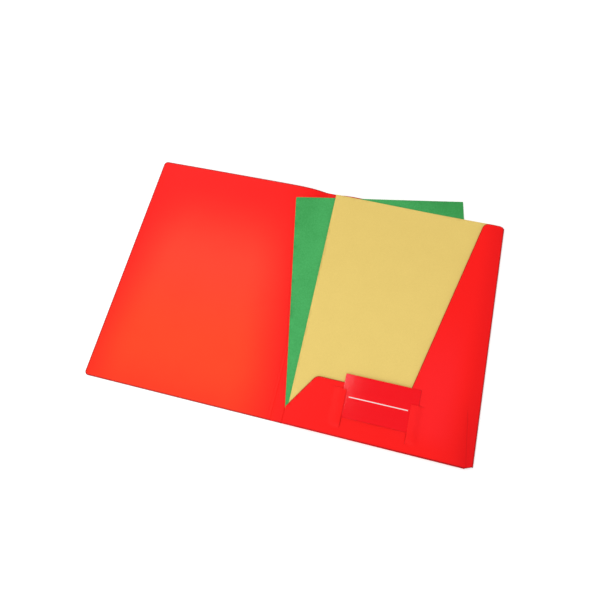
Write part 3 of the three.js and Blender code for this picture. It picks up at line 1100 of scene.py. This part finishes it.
# %% Floor and world
floor_mesh = bpy.data.meshes.new("table_top")
reach = 6.0
corners = [(-reach, -reach, 0), (reach, -reach, 0), (reach, reach, 0), (-reach, reach, 0)]
floor_mesh.from_pydata(corners, [], [(0, 1, 2, 3)])
table_top = bpy.data.objects.new("table_top", floor_mesh)
table_top.location.z = -0.0002
bpy.context.scene.collection.objects.link(table_top)


def ray_kinds(sheet):
    """Two sockets: 1 for the camera's rays, and 1 for the rays of gloss and of clear materials."""
    camera_rays = sheet.node("ShaderNodeLightPath", {}, {}, out="Is Camera Ray")
    return camera_rays, camera_rays.part("Is Glossy Ray").or_also(camera_rays.part("Is Transmission Ray"))


white = new_sheet("white_table")
camera_rays, mirrored = ray_kinds(white)
NEAR_GLOW, FAR_GLOW = (0.32, 0.32, 0.32, 1), (0.82, 0.82, 0.82, 1)
paint = white.node("ShaderNodeBsdfDiffuse", {}, {"Color": (0.80, 0.80, 0.80, 1)})
spot = white.node("ShaderNodeNewGeometry", {}, {}, out="Position")
far = white.ramp(white.node("ShaderNodeVectorMath", {"operation": "LENGTH"}, {0: spot}, out="Value"), 0.6, 2.4)
glow_colour = white.blend(NEAR_GLOW, FAR_GLOW, far)
glow = white.node("ShaderNodeEmission", {}, {"Color": glow_colour, "Strength": camera_rays.or_also(mirrored)})
dress(table_top, white.surface(white.node("ShaderNodeAddShader", {}, {0: paint, 1: glow})))

world = bpy.data.worlds.new("studio")
bpy.context.scene.world = world
sky = NodeSheet(world)
AMBIENT, CEILING = 0.62, 0.04
direction = sky.node("ShaderNodeSeparateXYZ", {}, {0: sky.node("ShaderNodeTexCoord", {}, {}, out="Generated")})
in_gloss = 1 - sky.ramp(direction.part("Z"), 0.04, 0.30) * (1 - CEILING)
camera_rays, mirrored = ray_kinds(sky)
strength = AMBIENT + camera_rays * (1 - AMBIENT) + mirrored * (in_gloss - AMBIENT)
background = sky.node("ShaderNodeBackground", {}, {"Color": (1, 1, 1, 1), "Strength": strength})
sky.node("ShaderNodeOutputWorld", {}, {"Surface": background})
print(f"table {2 * reach:.0f} m wide, world lights at {AMBIENT} of white")

# %% [markdown]
# ## Lamps
# The main light is large and soft and comes from the front left, above the camera's shoulder. A window
# behind on the left lights from the other side and softens the shadows. A weak, slightly warm softbox
# stands where the front cover mirrors it, and the satin plastic spreads its image into a wide glow. The
# last lamp is small and hangs where the glossy card mirrors it, as the pale patch at the card's upper left.


# %% Lamps
def area_lamp(name, place, aim, size, power, colour=(1, 1, 1)):
    """A rectangular lamp of `power` watts at `place` that points at `aim`, both in row metres."""
    lamp = bpy.data.lights.new(name, "AREA")
    lamp.shape, lamp.size, lamp.size_y, lamp.energy, lamp.color = "RECTANGLE", *size, power, colour
    holder = bpy.data.objects.new(name, lamp)
    holder.location = place
    holder.rotation_mode = "QUATERNION"
    holder.rotation_quaternion = (Vector(aim) - Vector(place)).to_track_quat("-Z", "Y")
    holder.visible_camera = False
    bpy.context.scene.collection.objects.link(holder)
    return holder


area_lamp("softbox", (-0.75, 0.50, 1.55), (-0.10, 0.0, 0.0), (0.9, 0.9), 4, (1.0, 0.90, 0.70))
area_lamp("front", (-0.8, -1.5, 1.8), (0.0, 0.0, 0.0), (2.4, 2.4), 26)
area_lamp("window", (-1.3, 1.9, 1.5), (0.0, 0.0, 0.0), (1.6, 1.6), 10)
area_lamp("card light", (-0.215, 0.22, 1.50), (-0.04, -0.09, 0.0), (0.18, 0.24), 0.62)
print("lamps:", [lamp.name for lamp in bpy.data.lights])

# %% [markdown]
# ## The camera
# The photograph looks down steeply from the front left. The place, direction and focal length come from
# matching the folder's corners, so they are given as plain numbers: its place in millimetres, and the
# directions right, down and into the picture, all in the row frame. A Blender camera looks along its own
# -z with y up, so two of them are turned round.

# %% Camera
FOCAL_PIXELS, PICTURE_PIXELS, SENSOR = 504.02, 600, 36.0
CAMERA_PLACE = (-52.80, -195.52, 597.78)
camera_data = bpy.data.cameras.new("camera")
camera_data.sensor_width = SENSOR
camera_data.lens = FOCAL_PIXELS / PICTURE_PIXELS * SENSOR
camera = bpy.data.objects.new("camera", camera_data)
right, down, look = (0.97022, 0.23898, -0.03945), (0.21386, -0.92167, -0.32371), (-0.11372, 0.30563, -0.94533)
turn = Matrix([right, [-v for v in down], [-v for v in look]]).transposed()
camera.matrix_world = Matrix.Translation(Vector(CAMERA_PLACE) * MM) @ turn.to_4x4()
bpy.context.scene.collection.objects.link(camera)
bpy.context.scene.camera = camera
bpy.context.scene.view_settings.view_transform = "Standard"
print("camera at", [round(v, 3) for v in camera.location])

# %% [markdown] ## The end
